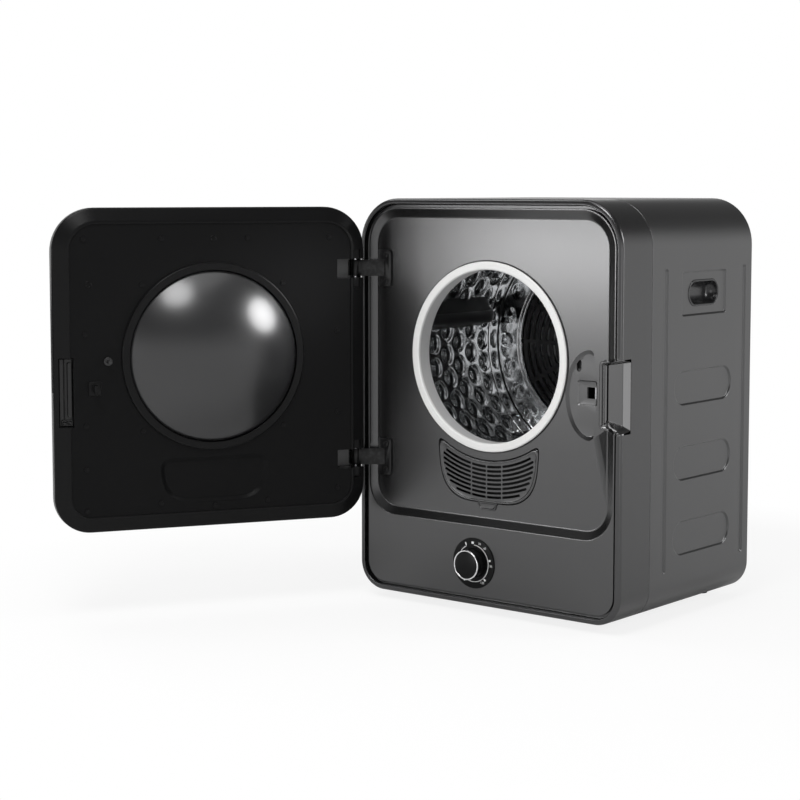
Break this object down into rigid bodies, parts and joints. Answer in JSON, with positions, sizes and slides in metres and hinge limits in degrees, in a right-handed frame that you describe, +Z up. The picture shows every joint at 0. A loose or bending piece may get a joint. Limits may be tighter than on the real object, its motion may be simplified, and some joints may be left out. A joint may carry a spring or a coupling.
{
  "type": "compact tumble dryer",
  "caption": "Compact free-standing vented tumble dryer: rounded dark cabinet, side-hinged door with a domed liner, drum with lifters, pull-out lint filter and rotary timer.",
  "frame": {"origin": "the point on the floor under the middle of the cabinet, midway between its sides and midway between the front crest and the rear edge", "axes": "+X to the right seen from the front, +Y to the back, +Z up; the front faces -Y"},
  "size_m": [0.6882, 0.8164, 0.6],
  "materials": {
    "gunmetal_steel": "satin metallic dark grey paint",
    "gunmetal_plastic": "satin metallic dark grey paint",
    "zinc_sheet": "bare zinc-coated sheet",
    "rubber_black": "matt",
    "ring_white": "satin off-white",
    "felt_grey": "felt",
    "bronze": "sintered",
    "heater_alloy": "cast",
    "plastic_black": "fine grain",
    "dial_black": "satin with white marks",
    "plastic_white": "satin",
    "hinge_black": "satin black",
    "steel_bright": "ground",
    "screw_dark": "blackened",
    "drum_stainless": "polished",
    "bright_ring": "bright",
    "dome_dark": "smooth dark grey",
    "window_glass": "smoked",
    "plunger_red": "smooth"
  },
  "bodies": {
    "base": {"cabinet_shell": "gunmetal_steel", "front_frame": "gunmetal_plastic", "front_panel": "gunmetal_steel", "rear_panel": "zinc_sheet", "base_tray": "zinc_sheet", "feet": "rubber_black", "opening_ring": "ring_white", "drum_felt": "felt_grey", "rear_felt": "felt_grey", "rear_bulkhead": "zinc_sheet", "bearing_bracket": "zinc_sheet", "shaft_bush": "bronze", "heater_box": "zinc_sheet", "heater_block": "heater_alloy", "thermostats": "plastic_black", "motor_body": "heater_alloy", "motor_cradle": "zinc_sheet", "blower_housing": "plastic_black", "lint_duct": "plastic_black", "exhaust_spigot": "plastic_black", "drive_belt": "rubber_black", "timer_body": "plastic_white", "dial_plate": "dial_black", "door_switch": "plastic_black", "latch_cover": "gunmetal_plastic", "latch_catch": "plastic_black", "frame_grip": "gunmetal_plastic", "side_grips": "gunmetal_plastic", "hinge_plates": "hinge_black", "hinge_screws": "steel_bright", "rear_screws": "steel_bright", "cord_gland": "rubber_black", "run_capacitor": "heater_alloy"},
    "drum": {"drum_shell": "drum_stainless", "drum_lifters": "plastic_black", "drum_disc": "plastic_black", "drum_shaft": "steel_bright"},
    "rotor": {"motor_shaft": "steel_bright", "motor_pulley": "steel_bright", "blower_wheel": "plastic_white"},
    "knob": {"knob_cap": "plastic_black", "knob_ring": "bright_ring", "timer_shaft": "steel_bright"},
    "filter": {"filter_cover": "gunmetal_plastic", "filter_basket": "plastic_black", "filter_mesh": "drum_stainless"},
    "tongue": {"latch_tongue": "steel_bright"},
    "plunger": {"switch_plunger": "plunger_red"},
    "door": {"door_shell": "gunmetal_plastic", "door_liner": "plastic_black", "door_dome": "dome_dark", "door_seal": "rubber_black", "door_window": "window_glass", "door_trim": "bright_ring", "door_grip": "plastic_black", "door_leaves": "hinge_black", "hinge_pins": "steel_bright", "latch_hook": "plastic_black", "switch_pin": "plastic_black", "liner_screws": "screw_dark"}
  },
  "joints": [
    {"name": "door_hinge", "type": "hinge", "parent": "base", "child": "door", "pos_m": [-0.224, -0.198, 0.3555], "axis": [0, 0, -1], "range_deg": [-120, 15]},
    {"name": "drum_turn", "type": "hinge", "parent": "base", "child": "drum", "pos_m": [0, 0, 0.374], "axis": [0, 1, 0], "continuous": true},
    {"name": "rotor_turn", "type": "hinge", "parent": "base", "child": "rotor", "pos_m": [0.12, 0, 0.088], "axis": [0, 1, 0], "continuous": true},
    {"name": "knob_turn", "type": "hinge", "parent": "base", "child": "knob", "pos_m": [-0.02, -0.175, 0.073], "axis": [0, 1, 0], "range_deg": [0, 300]},
    {"name": "filter_slide", "type": "slide", "parent": "base", "child": "filter", "axis": [0, -1, 0], "range_m": [0, 0.06]},
    {"name": "tongue_slide", "type": "slide", "parent": "base", "child": "tongue", "axis": [1, 0, 0], "range_m": [0, 0.002], "stiffness_N_per_m": 400, "springref_m": -0.003},
    {"name": "plunger_slide", "type": "slide", "parent": "base", "child": "plunger", "axis": [0, 1, 0], "range_m": [0, 0.0025], "stiffness_N_per_m": 300, "springref_m": -0.003}
  ],
  "couplings": [
    {"joint": "rotor_turn", "follows": "drum_turn", "ratio": 16.25}
  ]
}
